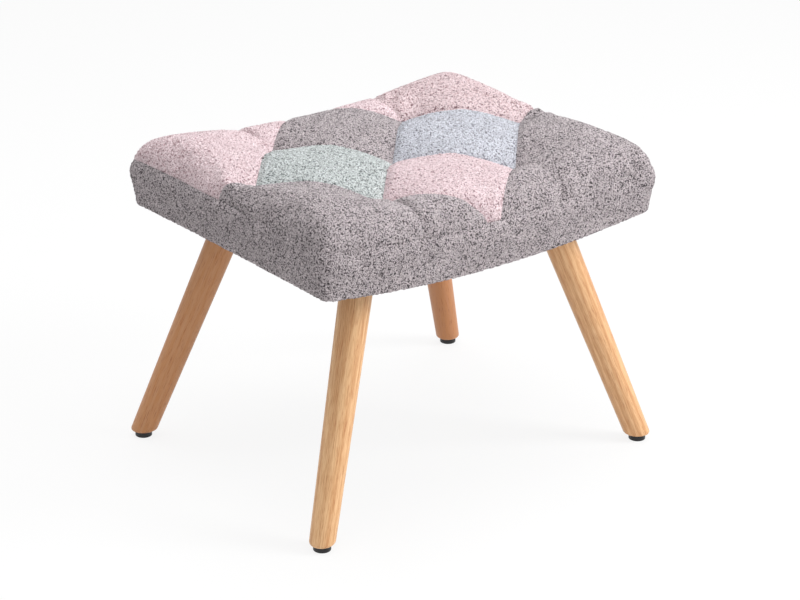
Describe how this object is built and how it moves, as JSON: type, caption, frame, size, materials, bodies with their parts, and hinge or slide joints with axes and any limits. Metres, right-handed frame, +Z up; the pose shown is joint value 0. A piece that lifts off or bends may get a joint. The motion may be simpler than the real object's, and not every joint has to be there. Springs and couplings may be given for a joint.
{
  "type": "upholstered footstool",
  "caption": "Rectangular footstool with a saddle-curved, tufted patchwork seat of looped cloth on splayed round wooden legs with screw-in glides.",
  "frame": {"origin": "on the floor, under the middle of the seat", "axes": "+X along the seat's length, -Y towards the side that the picture shows in front, +Z up"},
  "size_m": [0.5948, 0.4678, 0.4474],
  "materials": {
    "rail_pine": "sawn",
    "deck_plywood": "sanded",
    "zinc_steel": "zinc plated",
    "leg_oak": "satin lacquer",
    "insert_brass": "machined",
    "glide_black": "matte",
    "wadding_white": "fluffy",
    "foam_cream": "open cell",
    "twine": "waxed",
    "boucle_pink": "looped",
    "boucle_speckled_pink": "looped",
    "boucle_green": "looped",
    "boucle_blue": "looped",
    "boucle_grey": "looped",
    "dust_cover_black": "non-woven"
  },
  "bodies": {
    "footstool": {"front_rail": "rail_pine", "back_rail": "rail_pine", "left_rail": "rail_pine", "right_rail": "rail_pine", "left_leg_batten": "rail_pine", "right_leg_batten": "rail_pine", "seat_deck": "deck_plywood", "frame_screws": "zinc_steel", "deck_screws": "zinc_steel", "tee_nuts": "zinc_steel", "hanger_bolts": "zinc_steel", "staples": "zinc_steel", "leg_front_left": "leg_oak", "leg_front_right": "leg_oak", "leg_back_left": "leg_oak", "leg_back_right": "leg_oak", "glide_inserts": "insert_brass", "tuft_washers": "glide_black", "edge_wadding": "wadding_white", "seat_foam": "foam_cream", "tuft_twines": "twine", "patch_front_middle": "boucle_pink", "patch_back_left": "boucle_pink", "patch_back_edge_left": "boucle_pink", "patch_back_edge_right": "boucle_pink", "patch_back_right": "boucle_speckled_pink", "patch_middle_left": "boucle_green", "patch_middle_right": "boucle_blue", "patch_back_middle": "boucle_grey", "patch_front_left": "boucle_grey", "patch_front_right": "boucle_grey", "patch_front_edge_left": "boucle_grey", "patch_front_edge_right": "boucle_grey", "patch_left_end": "boucle_grey", "patch_right_end": "boucle_grey", "front_band": "boucle_grey", "back_band": "boucle_grey", "left_band": "boucle_grey", "right_band": "boucle_grey", "dust_cover": "dust_cover_black"},
    "stud_front_left": {"glide_stud_front_left": "zinc_steel"},
    "pad_front_left": {"glide_pad_front_left": "glide_black"},
    "stud_front_right": {"glide_stud_front_right": "zinc_steel"},
    "pad_front_right": {"glide_pad_front_right": "glide_black"},
    "stud_back_left": {"glide_stud_back_left": "zinc_steel"},
    "pad_back_left": {"glide_pad_back_left": "glide_black"},
    "stud_back_right": {"glide_stud_back_right": "zinc_steel"},
    "pad_back_right": {"glide_pad_back_right": "glide_black"}
  },
  "joints": [
    {"name": "travel_front_left", "type": "slide", "parent": "footstool", "child": "stud_front_left", "axis": [0, 0, -1], "range_m": [0, 0.006]},
    {"name": "turn_front_left", "type": "hinge", "parent": "stud_front_left", "child": "pad_front_left", "pos_m": [-0.279, -0.216, 0], "axis": [0, 0, -1], "range_deg": [0, 2161]},
    {"name": "travel_front_right", "type": "slide", "parent": "footstool", "child": "stud_front_right", "axis": [0, 0, -1], "range_m": [0, 0.006]},
    {"name": "turn_front_right", "type": "hinge", "parent": "stud_front_right", "child": "pad_front_right", "pos_m": [0.279, -0.216, 0], "axis": [0, 0, -1], "range_deg": [0, 2161]},
    {"name": "travel_back_left", "type": "slide", "parent": "footstool", "child": "stud_back_left", "axis": [0, 0, -1], "range_m": [0, 0.006]},
    {"name": "turn_back_left", "type": "hinge", "parent": "stud_back_left", "child": "pad_back_left", "pos_m": [-0.279, 0.216, 0], "axis": [0, 0, -1], "range_deg": [0, 2161]},
    {"name": "travel_back_right", "type": "slide", "parent": "footstool", "child": "stud_back_right", "axis": [0, 0, -1], "range_m": [0, 0.006]},
    {"name": "turn_back_right", "type": "hinge", "parent": "stud_back_right", "child": "pad_back_right", "pos_m": [0.279, 0.216, 0], "axis": [0, 0, -1], "range_deg": [0, 2161]}
  ],
  "couplings": [
    {"joint": "turn_front_left", "follows": "travel_front_left", "rad_per_m": 6283.2},
    {"joint": "turn_front_right", "follows": "travel_front_right", "rad_per_m": 6283.2},
    {"joint": "turn_back_left", "follows": "travel_back_left", "rad_per_m": 6283.2},
    {"joint": "turn_back_right", "follows": "travel_back_right", "rad_per_m": 6283.2}
  ]
}
